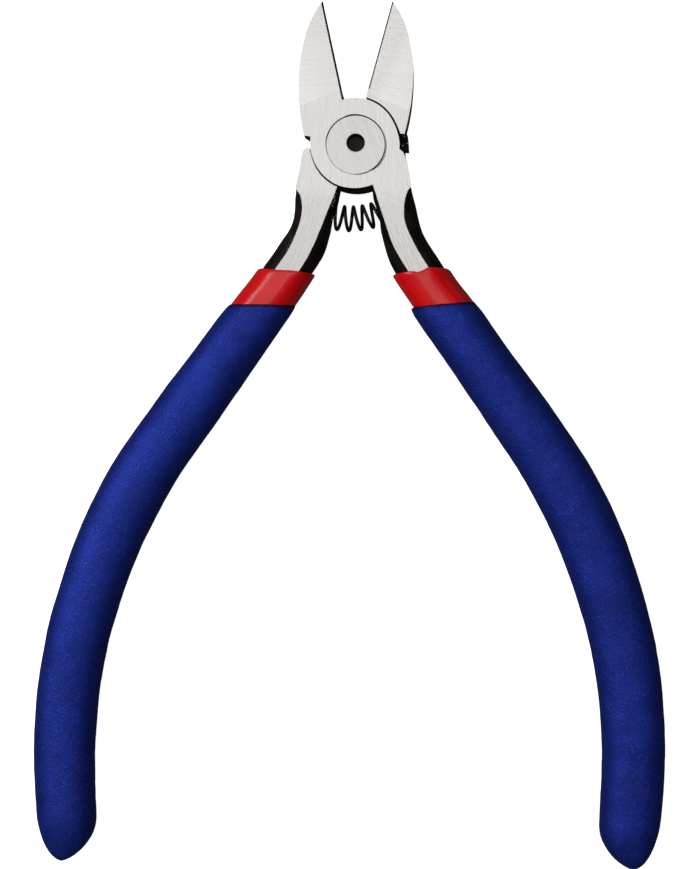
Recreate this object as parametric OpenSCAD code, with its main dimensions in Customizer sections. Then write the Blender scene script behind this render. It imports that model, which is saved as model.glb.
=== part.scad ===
// Flush cut pliers of the 5 inch class, lying flat with the jaws towards +Y.
// Millimetres. The origin is on the pivot axis, on the rear face of the joint, and +Z comes
// out of the front face. The pliers stand open, as their spring holds them.
// Front lever: left jaw, front lap, right tang. Rear lever: right jaw, rear lap, left tang.

/* [Joint] */
// Thickness of the joint, both laps together
joint_t = 8.6; // [8.4:0.1:9]
// Radius of the round lap of each lever
lap_r = 6.75; // [6.65:0.05:6.85]
// Radial gap between a lap and the shoulders that turn round it
lap_gap = 0.15; // [0.1:0.05:0.25]
// Gap between the flat faces of the two laps
lap_face_gap = 0.06; // [0.04:0.02:0.12]
// Angle of the opening stop below the X axis
stop_a = 4.4; // [4:0.1:4.8]

/* [Rivet] */
// Radius of the flush rivet head
head_r = 4.5; // [4:0.1:5]
// Thickness of the rivet head
head_t = 1.5; // [1:0.1:2]
// Radius of the rivet shank
shank_r = 2.5; // [2:0.1:3]
// Radius of the spread rivet tail at the rear face
tail_r = 3.6; // [3.2:0.1:4]
// Thickness of the spread rivet tail
tail_t = 1.4; // [1:0.1:2]
// Radius of the blind hole in the middle of the head
dimple_r = 1.35; // [1:0.05:1.5]
// Depth of the blind hole in the middle of the head
dimple_t = 2.4; // [1.5:0.1:3]
// Running clearance round the rivet
rivet_gap = 0.05; // [0.03:0.01:0.08]

/* [Jaws] */
// Angle of the left cutting edge from the middle line, open
left_edge_a = 12.9; // [12.4:0.1:12.9]
// Angle of the right cutting edge from the middle line, open
right_edge_a = 14.2; // [13.8:0.1:14.3]
// How far left of the pivot the line runs on which the cutting edges meet
edge_shift = 0.27; // [0.24:0.01:0.28]
// Height of the jaw tips above the pivot
tip_y = 21.6; // [21:0.05:21.6]
// Greatest half width over both jaws
jaw_half_w = 8.7; // [8.7:0.05:9]
// Slope of the ground front face of each blade
front_slope = 6.5; // [4:0.5:8]
// Slope of the rear face of each blade
rear_slope = 21; // [16:1:22]
// Angle of the relief behind each cutting edge
relief_a = 25; // [20:1:30]
// Distance that each cutting edge keeps from the shared edge line
edge_gap = 0.04; // [0.02:0.01:0.05]

/* [Tangs] */
// Half thickness of a tang where its grip begins
tang_half_t = 3.1; // [2.8:0.1:3.3]
// Half thickness of a tang at its hidden end
tang_end_half_t = 2; // [1.6:0.1:2.4]
// Distance from the pivot down to the hidden end of a tang
tang_end = 99; // [94:1:99]

/* [Handle path] */
// Lean of the straight upper stretch of a handle
lean = 35.25; // [35:0.25:35.5]
// Radius of the bend of a handle
bend_r = 84.1; // [83.8:0.1:84.4]
// Distance from the pivot down to where a handle runs straight down
bend_low = 92.7; // [92:0.1:93.2]
// Distance of a handle from the middle line there
bend_x = 43.1; // [42.9:0.05:43.3]

/* [Sleeves and grips] */
// Thickness of the inner vinyl sleeve
sleeve_t = 0.55; // [0.5:0.05:0.6]
// Distance from the pivot down to the top of the sleeves
sleeve_top = 19.2; // [19:0.1:19.8]
// Distance from the pivot down to the top of the grips
grip_top = 24.3; // [24.1:0.1:25]
// Distance from the pivot down to the ends of the grips
grip_end = 108.8; // [108.4:0.1:109.2]
// Squareness of the grip section, where 2 is an ellipse
grip_power = 2.35; // [2.25:0.05:2.6]

/* [Spring] */
// Distance from the pivot to the middle of the spring
spring_y = 11.28; // [11:0.01:11.5]
// Wire thickness
wire_d = 0.48; // [0.4:0.02:0.5]
// Mean radius of a coil
coil_r = 1.8; // [1.7:0.05:1.85]
// Angle about the pivot that one coil takes up
coil_a = 8.1; // [8:0.1:9]
// Half of the angle that the spring spans about the pivot
spring_half_a = 23.5; // [22:0.5:23.5]
// Radius of the pocket that holds an end of the spring
pocket_r = 2.4; // [2.35:0.05:2.4]
// Depth of that pocket
pocket_t = 2.3; // [2.2:0.1:2.4]

/* [Hidden] */
$fn = 96;
mid = joint_t / 2;
eps = 0.01;
far = 40;
over = 1;

// Jaw outline: half width at height y, widest at jaw_wide_y and rounding in to the tip.
// The right jaw leans in below waist_y
jaw_wide_y = 9;
jaw_round = 0.0155;
tip_round = 0.000003;
tip_power = 5;
waist_y = 14;
right_waist = 0.038;
jaw_steps = 18;
crease = [5, 6.6];
crease_a = 23;
// Along a cutting edge from the pivot: where the crease crosses it and where its relief starts
edge_crease = 8.13;
relief_start = 7.63;
edge_land = 0.25;

// Edges of a tang by distance d below the pivot: outer and inner side, and how far each
// dark drafted side stands out past the ground flat
tang_outer = [[1.15, 7.6], [2.5, 7.95], [6.1, 8.65], [9.4, 9.2], [10.5, 9.4], [11.8, 9.7],
    [13, 10.2], [14.2, 10.95], [16.6, 12.5], [18, 13.4], [20, 14.7]];
tang_inner = [[1.15, 1.2], [7.1, 2.55], [11.3, 3.5], [14.3, 4.35], [16.4, 4.95], [18, 5.65], [20, 6.8]];
draft_outer = [[6.5, 0.02], [7.3, 0.5], [8.5, 1.2], [11, 1.6], [14.6, 1.9], [20, 2.2], [44, 2.1], [99, 1.2]];
draft_inner = [[6.5, 0.02], [7.3, 0.3], [9, 0.6], [11, 1], [14.6, 1.35], [18, 2], [44, 2.1], [99, 1.2]];
tang_half_w = [[20, 3.95], [23, 4.2], [44, 4.1], [60, 3.5], [80, 2.9], [99, 2.4]];
left_tang_top = 0.75;
right_tang_top = 1.15;
tang_depths = [2.5, 4.2, 6.1, 6.8, 7.6, 8.6, 9.7, 11, 12.2, 13.4, 14.6, 16.4, 18.2, 20, 23,
    28, 34, 40, 46, 52, 58, 64, 71, 78, 85, 92];
land_near = 2.45;
land_far = 1;
tang_shift = 0.13;
thin_start = 6.5;
thin_end = 18.5;

// Where a shoulder ends: at the outside, and inside the lap at shoulder_root_x
left_shoulder = [1.07, 0.43];
right_shoulder = [1.5, 1.6];
shoulder_root_x = 5.5;
// The rear half of the left shoulder is cut back to this height
rear_shoulder_y = 2.2;
// Opening stop: outer corners, from the shoulder down, and the pad of the other lever that meets it
stop_top = [7.45, 2.4];
stop_bulge = [7.75, 0.9];
stop_low_x = 7.9;
stop_play_a = 0.4;
stop_short = 0.2;
pad_w = 2;
pad_low_y = -2;
// Lean of the inner wall of a tang where the spring meets it
pocket_a = 17;
pocket_over = 3;

// Width of a grip square to its path, by distance d below the pivot
grip_w = [[24.3, 8.4], [26, 8.7], [28, 8.9], [46, 9.5], [62, 9.6], [84, 9.4], [101, 9.15]];
grip_half_t = [[24.3, 4.1], [30, 4.3], [101, 4.3]];
grip_depths = [26, 28, 32, 37, 42, 46, 50, 54, 58, 62, 67, 72, 77, 82, 87, 92, 97];
nose_start = 101.6;
nose_shift = 0.75;
nose_power = 0.65;
nose_steps = 9;
nose_last_a = 84;
grip_sides = 24;

// Wire of the spring: the coil that is lowest at coil_start_a, and how far the coils lean
wire_sides = 8;
coil_steps = 14;
coil_start_a = 3;
coil_lean_a = 0.9;

// Middle line of a handle: a straight stretch, then an arc that ends straight down
function arc_top() = bend_low - bend_r * sin(lean);
function arc_x(d) = bend_x - bend_r + sqrt(bend_r * bend_r - pow(bend_low - d, 2));
function path_x(d) = d < arc_top() ? arc_x(arc_top()) - (arc_top() - d) * tan(lean) : arc_x(d);
function path_a(d) = d < arc_top() ? lean : asin((bend_low - d) / bend_r);

function jaw_x(y, waist) = let (u = y - jaw_wide_y)
    jaw_half_w - jaw_round * u * u - (u > 0 ? tip_round * pow(u, tip_power) : 0) - waist * max(0, waist_y - y);

function tang_out_x(d) = d < 20 ? lookup(d, tang_outer) : path_x(d) + lookup(d, tang_half_w) + tang_shift;
function tang_in_x(d) = d < 20 ? lookup(d, tang_inner) : path_x(d) - lookup(d, tang_half_w) + tang_shift;
function tang_t(d) = lookup(d, [[thin_start, mid], [thin_end, tang_half_t], [tang_end, tang_end_half_t]]);

// Eight sided tang section at depth d, made larger by grow on every side
function tang_ring(d, grow = 0) = let (
    side = grow / cos(path_a(d)),
    half_t = tang_t(d) + grow,
    land = min(half_t - eps, lookup(d, [[12, land_near], [20, land_far]]) + grow / 2),
    out_x = tang_out_x(d) + side,
    in_x = tang_in_x(d) - side,
    flat_out = out_x - lookup(d, draft_outer) - side / 3,
    flat_in = in_x + lookup(d, draft_inner) + side / 3)
    [[flat_in, -d, mid + half_t], [in_x, -d, mid + land], [in_x, -d, mid - land],
     [flat_in, -d, mid - half_t], [flat_out, -d, mid - half_t], [out_x, -d, mid - land],
     [out_x, -d, mid + land], [flat_out, -d, mid + half_t]];

// Rounded grip section at depth d
function nose(d) = d < nose_start ? 0 : (d - nose_start) / (grip_end - nose_start);
function bulge(v) = sign(v) * pow(abs(v), 2 / grip_power);
function grip_ring(d) = let (
    s = nose(d),
    half_w = lookup(d, grip_w) / cos(path_a(d)) / 2 * pow(1 - s * s, nose_power),
    half_t = lookup(d, grip_half_t) * sqrt(1 - s * s),
    x = path_x(d) + nose_shift * s * s)
    [for (i = [0 : grip_sides - 1]) let (a = 360 * i / grip_sides)
        [x + half_w * bulge(cos(a)), -d, mid + half_t * bulge(sin(a))]];

// Closed skin through rings of points, each turning clockwise as seen from before the first ring
module skin(rings) {
    m = len(rings);
    n = len(rings[0]);
    polyhedron(
        points = [for (r = rings) each r],
        faces = concat(
            [[for (i = [0 : n - 1]) i]],
            [for (j = [0 : m - 2], i = [0 : n - 1]) let (k = (i + 1) % n)
                each [[j * n + i, (j + 1) * n + i, (j + 1) * n + k],
                      [j * n + i, (j + 1) * n + k, j * n + k]]],
            [[for (i = [n - 1 : -1 : 0]) (m - 1) * n + i]]));
}

// Blade and shoulder of the right jaw, full thickness at the joint. The shoulder ends on a line
// from shoulder[0] at the outside to shoulder[1] inside the lap. The cutting edge leans by edge_a
// and runs edge_off outwards of the pivot
module jaw(shoulder, edge_a, edge_off, waist) {
    edge_x = function (y) y * tan(edge_a) + edge_off / cos(edge_a);
    side = [for (i = [0 : jaw_steps]) let (y = shoulder[0] + (tip_y - shoulder[0]) * i / jaw_steps)
        [jaw_x(y, waist), y]];
    difference() {
        linear_extrude(joint_t)
            polygon(concat([[shoulder_root_x, shoulder[1]]], side,
                [[edge_x(tip_y), tip_y], [edge_x(crease.x), crease.x]]));
        // ground front face, from the crease to the tip
        translate([crease.x, crease.y, joint_t]) rotate([0, 0, -crease_a]) rotate([-front_slope, 0, 0])
            translate([-far / 2, 0, 0]) cube([far, far, far]);
        // rear face, from the crease to the tip
        translate([crease.x, crease.y, 0]) rotate([0, 0, -crease_a]) rotate([rear_slope, 0, 0])
            translate([-far / 2, 0, -far]) cube([far, far, far]);
        // relief behind the cutting edge
        rotate([0, 0, -edge_a]) translate([edge_off, edge_crease, joint_t - edge_land])
            rotate([-front_slope, 0, 0]) rotate([0, -relief_a, 0])
            translate([-far, relief_start - edge_crease, -far]) cube([far, far, far]);
    }
}

// Tang on the right side, from the joint to its hidden end
module tang(top) {
    skin([for (d = concat([top], tang_depths, [tang_end])) tang_ring(d)]);
}

// Pocket in the inner side of the right tang for an end of the spring
module spring_pocket() {
    rotate([0, 0, pocket_a]) translate([-pocket_over, -spring_y, mid])
        rotate([0, 90, 0]) cylinder(r = pocket_r, h = pocket_t + pocket_over);
}

// The rivet, or with a gap the seat that is cut for it
module rivet_solid(gap) {
    ends = gap > 0 ? over : 0;
    translate([0, 0, joint_t - head_t - gap]) cylinder(r = head_r + gap, h = head_t + gap + ends);
    translate([0, 0, -ends]) cylinder(r = shank_r + gap, h = joint_t - eps + ends);
    cylinder(r1 = tail_r + gap, r2 = shank_r + gap, h = tail_t + gap);
}

module front_lever() {
    color("gainsboro") difference() {
        union() {
            mirror([1, 0, 0]) jaw(left_shoulder, left_edge_a, edge_gap + edge_shift, 0);
            difference() {
                tang(right_tang_top);
                spring_pocket();
            }
            translate([0, 0, mid]) cylinder(r = lap_r, h = mid);
            translate([shoulder_root_x, pad_low_y, stop_short]) cube([pad_w, -pad_low_y, mid - 2 * stop_short]);
        }
        // room for the rear lap
        translate([0, 0, -over]) cylinder(r = lap_r + lap_gap, h = mid + lap_face_gap / 2 + over);
        // seat of the opening stop
        translate([0, 0, -over]) rotate([0, 0, -stop_a - stop_play_a])
            cube([far, shoulder_root_x, mid + lap_face_gap / 2 + over]);
        // rear half of the left shoulder
        translate([-far, -over, -over]) cube([far, rear_shoulder_y + over, mid + lap_face_gap / 2 + over]);
        rivet_solid(rivet_gap);
    }
}

module rear_lever() {
    color("silver") difference() {
        union() {
            jaw(right_shoulder, right_edge_a, edge_gap - edge_shift, right_waist);
            mirror([1, 0, 0]) difference() {
                tang(left_tang_top);
                spring_pocket();
            }
            cylinder(r = lap_r, h = mid);
            // opening stop, a lug in the rear layer
            linear_extrude(mid - stop_short) polygon([[shoulder_root_x, stop_top.y], stop_top, stop_bulge,
                [stop_low_x, -stop_low_x * tan(stop_a)], [shoulder_root_x, -shoulder_root_x * tan(stop_a)]]);
        }
        // room for the front lap
        translate([0, 0, mid - lap_face_gap / 2]) cylinder(r = lap_r + lap_gap, h = mid + over);
        rivet_solid(rivet_gap);
    }
}

module pivot_rivet() {
    color("lightgray") difference() {
        rivet_solid(0);
        translate([0, 0, joint_t - dimple_t]) cylinder(r = dimple_r, h = dimple_t + over);
    }
}

// Compression spring whose middle line is an arc about the pivot. Seen from the front, its
// coils run down on the near side and up on the far side, going right
module return_spring() {
    steps = round(2 * spring_half_a / coil_a * coil_steps);
    wire_r = wire_d / 2;
    place = function (a, r, z) [r * sin(a), -r * cos(a), z];
    color("black") skin([for (i = [0 : steps])
        let (a = spring_half_a * (2 * i / steps - 1), turn = 360 * (a - coil_start_a) / coil_a)
        [for (j = [0 : wire_sides - 1])
            let (w = -360 * j / wire_sides, r = coil_r + wire_r * cos(w),
                along = coil_lean_a * cos(turn) + asin(wire_r * sin(w) / spring_y))
            place(a + along, spring_y + r * cos(turn), mid - r * sin(turn))]]);
}

// Right inner sleeve, outside shape: it closes over the end of the tang
module sleeve_outside() {
    depths = concat([sleeve_top], [for (d = tang_depths) if (d > sleeve_top) d], [tang_end, tang_end + 1]);
    skin([for (d = depths) tang_ring(d, sleeve_t)]);
}

module right_inner_sleeve() {
    color("red") difference() {
        sleeve_outside();
        tang(right_tang_top);
    }
}

module left_inner_sleeve() {
    mirror([1, 0, 0]) right_inner_sleeve();
}

module right_grip() {
    noses = [for (i = [0 : nose_steps]) nose_start + (grip_end - nose_start) * sin(nose_last_a * i / nose_steps)];
    color("mediumblue") difference() {
        skin([for (d = concat([grip_top], grip_depths, noses)) grip_ring(d)]);
        sleeve_outside();
    }
}

module left_grip() {
    mirror([1, 0, 0]) right_grip();
}

front_lever();
rear_lever();
pivot_rivet();
return_spring();
left_inner_sleeve();
right_inner_sleeve();
left_grip();
right_grip();
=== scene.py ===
import math

import bpy
import bmesh
import numpy as np
from mathutils import Matrix, Vector, noise

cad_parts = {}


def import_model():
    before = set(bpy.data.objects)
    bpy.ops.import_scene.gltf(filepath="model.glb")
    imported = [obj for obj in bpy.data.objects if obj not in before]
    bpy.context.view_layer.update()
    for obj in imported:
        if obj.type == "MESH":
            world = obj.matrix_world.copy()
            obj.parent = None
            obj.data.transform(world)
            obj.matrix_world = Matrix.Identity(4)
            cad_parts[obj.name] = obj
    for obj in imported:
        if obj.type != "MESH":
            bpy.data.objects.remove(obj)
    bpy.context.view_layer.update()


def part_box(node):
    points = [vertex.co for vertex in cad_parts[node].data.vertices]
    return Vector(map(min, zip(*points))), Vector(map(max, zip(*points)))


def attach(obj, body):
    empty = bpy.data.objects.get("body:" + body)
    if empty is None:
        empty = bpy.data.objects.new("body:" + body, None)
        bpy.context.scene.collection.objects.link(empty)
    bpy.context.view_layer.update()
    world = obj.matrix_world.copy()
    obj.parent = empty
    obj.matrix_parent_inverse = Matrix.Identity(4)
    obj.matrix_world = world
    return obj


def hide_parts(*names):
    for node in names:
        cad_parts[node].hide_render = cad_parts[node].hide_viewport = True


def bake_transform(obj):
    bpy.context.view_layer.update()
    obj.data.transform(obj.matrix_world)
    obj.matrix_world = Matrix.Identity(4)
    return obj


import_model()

# Shapes are worked out in millimetres in the CAD frame and turned into metres when a piece is made.
MM = 0.001
FRONT_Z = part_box("front_lever")[1].z / MM
MID_Z = FRONT_Z / 2
# Heights past the rear and the front face, for what cuts right through
BELOW, ABOVE = -1, FRONT_Z + 1


# ---------------------------------------------------------------- curves

def smooth(points):
    """Smooth function through (position, value) points that never overshoots them."""
    xs = np.array([p[0] for p in points], float)
    ys = np.array([p[1] for p in points], float)
    step = np.diff(xs)
    slope = np.diff(ys) / step
    tangent = np.zeros(len(xs))
    tangent[0], tangent[-1] = slope[0], slope[-1]
    for i in range(1, len(xs) - 1):
        if slope[i - 1] * slope[i] > 0:
            w1, w2 = 2 * step[i] + step[i - 1], step[i] + 2 * step[i - 1]
            tangent[i] = (w1 + w2) / (w1 / slope[i - 1] + w2 / slope[i])

    def value(x):
        x = np.asarray(x, float)
        i = np.clip(np.searchsorted(xs, x) - 1, 0, len(step) - 1)
        t = np.clip((x - xs[i]) / step[i], 0, 1)
        t2, t3 = t * t, t * t * t
        return ((2 * t3 - 3 * t2 + 1) * ys[i] + (t3 - 2 * t2 + t) * step[i] * tangent[i]
                + (3 * t2 - 2 * t3) * ys[i + 1] + (t3 - t2) * step[i] * tangent[i + 1])

    return value


def ease(x, low, high):
    """0 up to low, 1 from high on, and a smooth step between them."""
    t = np.clip((np.asarray(x, float) - low) / (high - low), 0, 1)
    return t * t * (3 - 2 * t)


def around(count):
    """Angles spread evenly over a full turn."""
    return [2 * math.pi * i / count for i in range(count)]


def polar(radius, sides, centre=(0, 0)):
    """Outline whose radius is a function of the direction."""
    x, y = centre
    return [(x + radius(a) * math.cos(a), y + radius(a) * math.sin(a)) for a in around(sides)]


# ---------------------------------------------------------------- meshes

def solid(name, verts, faces):
    """Closed mesh in millimetres with its faces turned outwards."""
    mesh = bpy.data.meshes.new(name)
    mesh.from_pydata([tuple(map(float, v)) for v in verts], [], faces)
    bm = bmesh.new()
    bm.from_mesh(mesh)
    bmesh.ops.recalc_face_normals(bm, faces=bm.faces)
    if bm.calc_volume(signed=True) < 0:
        bmesh.ops.reverse_faces(bm, faces=bm.faces)
    bm.to_mesh(mesh)
    bm.free()
    obj = bpy.data.objects.new(name, mesh)
    bpy.context.scene.collection.objects.link(obj)
    return obj


def bands(m, n):
    """Faces between m rings of n points."""
    return [(j * n + i, j * n + (i + 1) % n, (j + 1) * n + (i + 1) % n, (j + 1) * n + i)
            for j in range(m - 1) for i in range(n)]


def loft(name, rings):
    """Skin through rings of the same number of points, closed at both ends."""
    m, n = len(rings), len(rings[0])
    verts = [p for ring in rings for p in ring]
    return solid(name, verts, bands(m, n) + [tuple(range(n)), tuple(range((m - 1) * n, m * n))])


def prism(name, outline, low, high):
    """Upright solid over an outline of (x, y) points."""
    return loft(name, [[(x, y, low) for x, y in outline], [(x, y, high) for x, y in outline]])


def turned(name, profile, sides=160, centre=(0, 0)):
    """Solid turned about an upright axis from (radius, height) points, closed where the radius is 0."""
    verts, faces, rows = [], [], []
    for r, z in profile:
        start = len(verts)
        if r == 0:
            verts.append((centre[0], centre[1], z))
            rows.append([start] * sides)
        else:
            verts += [(x, y, z) for x, y in polar(lambda a: r, sides, centre)]
            rows.append(list(range(start, start + sides)))
    for low, high in zip(rows, rows[1:]):
        for i in range(sides):
            k = (i + 1) % sides
            ring = [low[i], low[k], high[k], high[i]]
            faces.append(tuple(dict.fromkeys(ring)))
    return solid(name, verts, [f for f in faces if len(f) > 2])


def field(name, xy_at, height, us, vs, far_z):
    """Solid between a height field over (u, v) and the plane z = far_z. xy_at(u, v) is the place."""
    rows = [[xy_at(u, v) + (height(u, v),) for u in us] for v in vs]
    flat = [[(x, y, far_z) for x, y, _ in row] for row in rows]
    nu, nv = len(us), len(vs)
    verts = [p for row in rows for p in row] + [p for row in flat for p in row]
    base = nu * nv
    faces = []
    for j in range(nv - 1):
        for i in range(nu - 1):
            a, b, c, d = j * nu + i, j * nu + i + 1, (j + 1) * nu + i + 1, (j + 1) * nu + i
            faces += [(a, b, c, d), (base + a, base + d, base + c, base + b)]
    rim = (list(range(nu)) + [j * nu + nu - 1 for j in range(1, nv)]
           + [(nv - 1) * nu + i for i in range(nu - 2, -1, -1)]
           + [j * nu for j in range(nv - 2, 0, -1)])
    for a, b in zip(rim, rim[1:] + rim[:1]):
        faces.append((a, b, base + b, base + a))
    return solid(name, verts, faces)


def combine(target, tool, how="DIFFERENCE"):
    """Cuts, joins or intersects target with tool, and removes tool."""
    step = target.modifiers.new("step", "BOOLEAN")
    step.operation, step.solver, step.object = how, "EXACT", tool
    graph = bpy.context.evaluated_depsgraph_get()
    done = bpy.data.meshes.new_from_object(target.evaluated_get(graph))
    target.modifiers.clear()
    old = target.data
    target.data = done
    bpy.data.meshes.remove(old)
    mesh = tool.data
    bpy.data.objects.remove(tool)
    bpy.data.meshes.remove(mesh)
    return target


def store(mesh, name, kind, domain, values):
    """Keeps values at the points or face corners of a mesh, for its material to read."""
    member = "vector" if kind == "FLOAT_VECTOR" else "value"
    mesh.attributes.new(name, kind, domain).data.foreach_set(member, values.ravel())


def place(obj, body, node):
    """Turns a millimetre mesh into metres, fixes the piece to its body and lets it stand for its node."""
    co = np.zeros(len(obj.data.vertices) * 3, np.float32)
    obj.data.vertices.foreach_get("co", co)
    obj.data.vertices.foreach_set("co", co * MM)
    obj.data.update()
    if body:
        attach(obj, body)
    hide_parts(node)
    return obj


# ---------------------------------------------------------------- materials

class Nodes:
    """Small helper for building a node tree."""

    def __init__(self, tree):
        self.tree = tree

    def set(self, socket, value):
        """Links a socket to another, or sets its own value."""
        if isinstance(value, bpy.types.NodeSocket):
            self.tree.links.new(value, socket)
        else:
            socket.default_value = value

    def fill(self, node, **inputs):
        for key, value in inputs.items():
            self.set(node.inputs[key.replace("_", " ")], value)
        return node

    def add(self, kind, settings=(), **inputs):
        node = self.tree.nodes.new("ShaderNode" + kind)
        for key, value in dict(settings).items():
            setattr(node, key, value)
        return self.fill(node, **inputs)

    def math(self, operation, a, b=0.0):
        node = self.add("Math", {"operation": operation})
        self.set(node.inputs[0], a)
        self.set(node.inputs[1], b)
        return node.outputs[0]

    def ramp(self, value, *stops):
        """Colour ramp through (position, colour) stops; a single number stands for a grey."""
        node = self.add("ValToRGB", Fac=value)
        elements = node.color_ramp.elements
        while len(elements) < len(stops):
            elements.new(0.5)
        for element, (position, colour) in zip(elements, stops):
            element.position = position
            element.color = (*colour, 1) if isinstance(colour, tuple) else (*(colour,) * 3, 1)
        return node.outputs["Color"]

    def mix(self, factor, a, b):
        """Mix of two colours, which are the node's inputs 6 and 7; its output 2 is the result."""
        node = self.add("Mix", {"data_type": "RGBA"}, Factor=factor)
        for socket, colour in ((node.inputs[6], a), (node.inputs[7], b)):
            self.set(socket, colour if isinstance(colour, bpy.types.NodeSocket) else (*colour, 1))
        return node.outputs[2]

    def noise(self, vector, scale, detail, roughness=0.5):
        node = self.add("TexNoise", Vector=vector, Scale=scale, Detail=detail, Roughness=roughness)
        return node.outputs["Fac"]

    def stretch(self, vector, scale, offset=(0, 0, 0)):
        return self.add("Mapping", Vector=vector, Scale=scale, Location=offset).outputs["Vector"]

    def bump(self, height, distance, strength, **more):
        node = self.add("Bump", Height=height, Distance=distance, Strength=strength, **more)
        return node.outputs["Normal"]


def material(name):
    """New material, with the helper for its tree and its shader."""
    made = bpy.data.materials.new(name)
    made.use_nodes = True
    nodes = Nodes(made.node_tree)
    shader = made.node_tree.nodes["Principled BSDF"]
    return made, nodes, shader


def object_point(nodes):
    """Place on the piece, in metres. Noise scales are features per metre."""
    return nodes.add("TexCoord").outputs["Object"]


def brushed(name, tone, offset):
    """Ground steel. The stroke attribute holds (across, along) the grinding strokes, in millimetres."""
    made, n, shader = material(name)
    stroke = n.add("Attribute", {"attribute_name": "stroke"}).outputs["Vector"]
    fine = n.noise(n.stretch(stroke, (4.2, 0.2, 1), offset), 1.0, 1.5)
    broad = n.noise(n.stretch(stroke, (1.6, 0.1, 1), offset), 1.0, 1.0)
    cloud = n.noise(object_point(n), 170.0, 3.0)
    level = n.math("ADD", n.math("MULTIPLY", fine, 0.66),
                   n.math("ADD", n.math("MULTIPLY", broad, 0.24), n.math("MULTIPLY", cloud, 0.10)))
    dark, pale = (tuple(share * c for c in tone) for share in (0.91, 1.07))
    n.fill(shader, Base_Color=n.ramp(level, (0.34, dark), (0.5, tone), (0.66, pale)), Metallic=0.45,
           Roughness=n.ramp(fine, (0.3, 0.25), (0.7, 0.37)), Normal=n.bump(fine, 0.000012, 0.12))
    return made


# Small bright spots, by (x, y) in millimetres: painted highlights (glints) on the lug, then wear nicks
# along the inner edge of the left tang
PAINTED_GLINTS_AND_NICKS = [(7.05, 0.2), (7.75, 0.6), (7.05, 1.6), (7.3, 1.55),
          (-2.82, -7.45), (-2.95, -7.9), (-3.08, -8.2), (-3.02, -8.5), (-3.22, -8.85), (-3.35, -9.3)]


def black_oxide(name):
    """Blackened forged surface with faint brown patches, bright rubs beside the ground flats (where the
    rub attribute says so) and the small bright spots: painted highlights on the lug, wear nicks on the left
    tang."""
    made, n, shader = material(name)
    point = object_point(n)
    cloud = n.noise(point, 350.0, 4.0)
    grit = n.noise(point, 5200.0, 3.0)
    base = n.ramp(cloud, (0.35, (0.0042, 0.0034, 0.003)), (0.7, (0.015, 0.0112, 0.0095)))
    edge = n.add("Attribute", {"attribute_name": "rub"}).outputs["Fac"]
    chips = n.ramp(n.noise(point, 2300.0, 2.0), (0.62, 0.0), (0.7, 1.0))
    worn = n.math("MULTIPLY", edge, chips)
    colour = n.mix(worn, base, (0.32, 0.31, 0.3))
    from_front = n.stretch(point, (1 / MM, 1 / MM, 0.0))
    # each spot mixes in a pale colour: a painted highlight on the lug, a wear nick on the tang
    for x, y in PAINTED_GLINTS_AND_NICKS:
        away = n.add("VectorMath", {"operation": "DISTANCE"}, Vector=from_front)
        away.inputs[1].default_value = (x, y, 0)
        glint_and_nick = n.ramp(away.outputs["Value"], (0.05, 1.0), (0.13, 0.0))
        colour = n.mix(glint_and_nick, colour, (0.7, 0.69, 0.68))
    n.fill(shader, Base_Color=colour, Roughness=n.ramp(grit, (0.3, 0.42), (0.75, 0.62)),
           Specular_IOR_Level=0.15, IOR=1.35, Normal=n.bump(grit, 0.00003, 0.35))
    return made


def honed_edge(name, dark, light):
    """Smooth ground steel, streaked between two dark colours that are painted: a painted dark reflection on
    the honed edges, painted shade in the rivet's hole and gap.
    """
    made, n, shader = material(name)
    streaks = n.noise(n.stretch(object_point(n), (900.0, 900.0, 6000.0)), 1.0, 3.0)
    n.fill(shader, Base_Color=n.ramp(streaks, (0.35, dark), (0.7, light)), Metallic=0.2,
           Roughness=n.ramp(streaks, (0.3, 0.35), (0.7, 0.5)), Specular_IOR_Level=0.2)
    return made


def vinyl(name):
    """Glossy dipped vinyl, a little uneven."""
    made, n, shader = material(name)
    point = object_point(n)
    swell = n.noise(point, 330.0, 2.0)
    cloud = n.noise(point, 260.0, 4.0)
    red = n.ramp(cloud, (0.3, (0.585, 0.002, 0.0035)), (0.7, (0.73, 0.0042, 0.0065)))
    gloss = n.ramp(n.noise(point, 900.0, 3.0), (0.3, 0.16), (0.75, 0.24))
    n.fill(shader, Base_Color=red, Roughness=gloss, Specular_IOR_Level=0.36,
           Normal=n.bump(swell, 0.0001, 0.4))
    return made


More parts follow.
